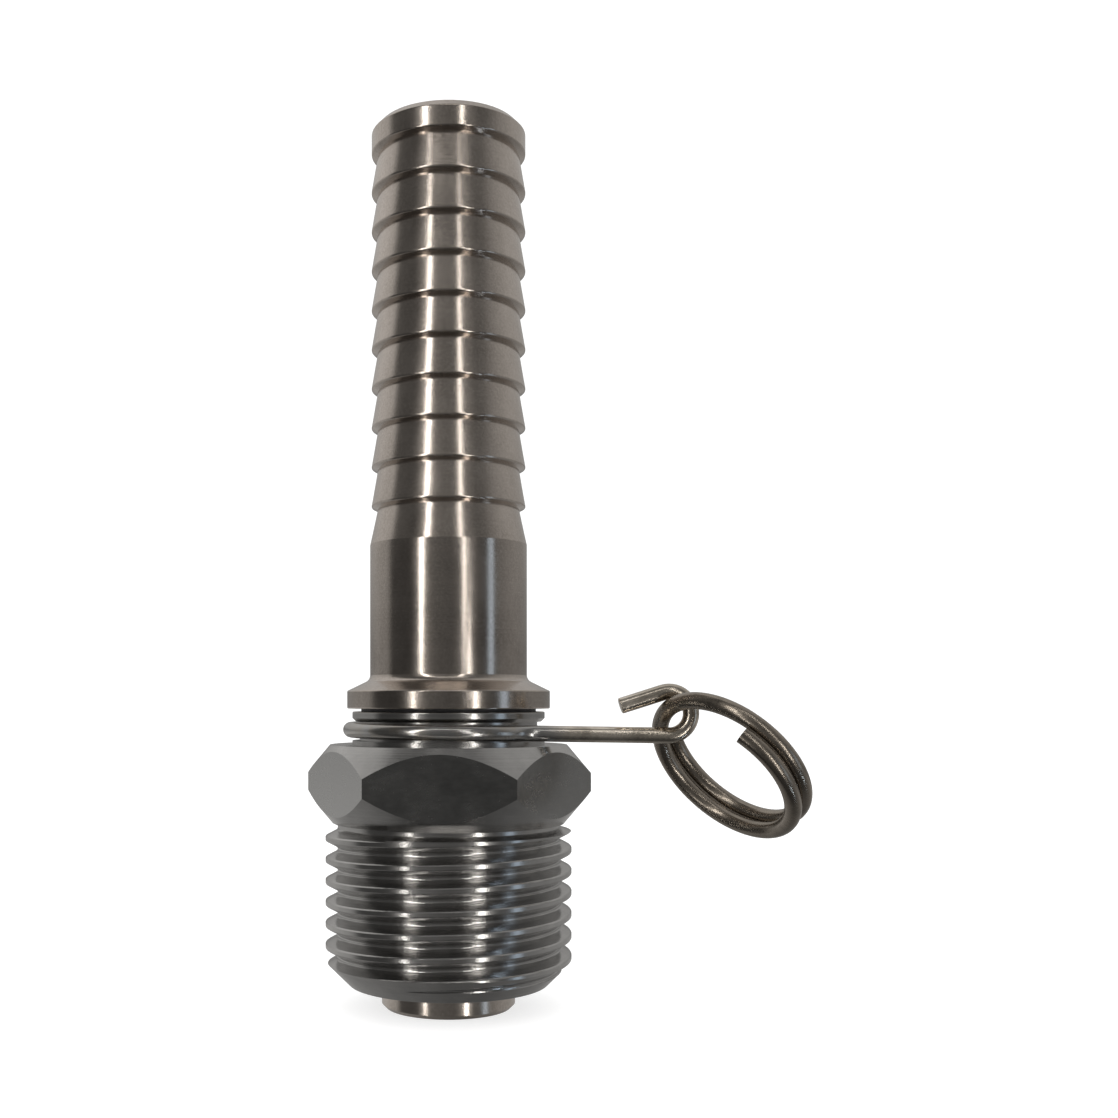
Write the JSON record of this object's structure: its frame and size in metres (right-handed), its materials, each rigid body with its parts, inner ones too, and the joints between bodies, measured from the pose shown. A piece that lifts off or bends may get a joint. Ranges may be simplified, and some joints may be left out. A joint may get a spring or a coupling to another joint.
{
  "type": "quick-release hose coupling",
  "caption": "Swivelling quick-release hose coupling: barbed stem held in a hexagonal male pipe adapter by a wire clip with a pull ring.",
  "frame": {"origin": "where the bore axis crosses the adapter's threaded end face", "axes": "+Z along the bore axis from the threaded end to the hose end, +X along the clip's leg towards the pull ring, -Y towards the viewer of the picture"},
  "size_m": [0.0407, 0.0247, 0.0748],
  "materials": {
    "hex_body": "machined stainless steel, neutral grey, fine turning marks, mottled flats",
    "hose_stem": "turned stainless steel, warm grey, satin",
    "thrust_washer": "black filled PTFE",
    "o_ring_lower": "black nitrile rubber",
    "o_ring_upper": "black nitrile rubber",
    "backup_ring_lower": "white PTFE",
    "backup_ring_upper": "white PTFE",
    "guide_ring": "brown filled PTFE",
    "retaining_clip": "drawn stainless spring wire",
    "pull_ring": "drawn stainless spring wire, slightly bronzed"
  },
  "bodies": {
    "adapter": {"hex_body": "hex_body", "o_ring_lower": "o_ring_lower", "o_ring_upper": "o_ring_upper", "backup_ring_lower": "backup_ring_lower", "backup_ring_upper": "backup_ring_upper", "guide_ring": "guide_ring"},
    "bearing": {"thrust_washer": "thrust_washer"},
    "stem": {"hose_stem": "hose_stem"},
    "clip": {"retaining_clip": "retaining_clip"},
    "ring": {"pull_ring": "pull_ring"}
  },
  "joints": [
    {"name": "stem_release", "type": "slide", "parent": "adapter", "child": "bearing", "axis": [0, 0, 1], "range_m": [0, 0.03]},
    {"name": "stem_swivel", "type": "hinge", "parent": "bearing", "child": "stem", "pos_m": [0, 0, 0], "axis": [0, 0, 1], "continuous": true},
    {"name": "clip_pull", "type": "slide", "parent": "adapter", "child": "clip", "axis": [1, 0, 0], "range_m": [0, 0.02], "deforming": ["retaining_clip"]},
    {"name": "ring_swing", "type": "hinge", "parent": "clip", "child": "ring", "pos_m": [0.01791, -0.00576, 0.02293], "axis": [0, 1, 0], "range_deg": [-120, 50]}
  ]
}
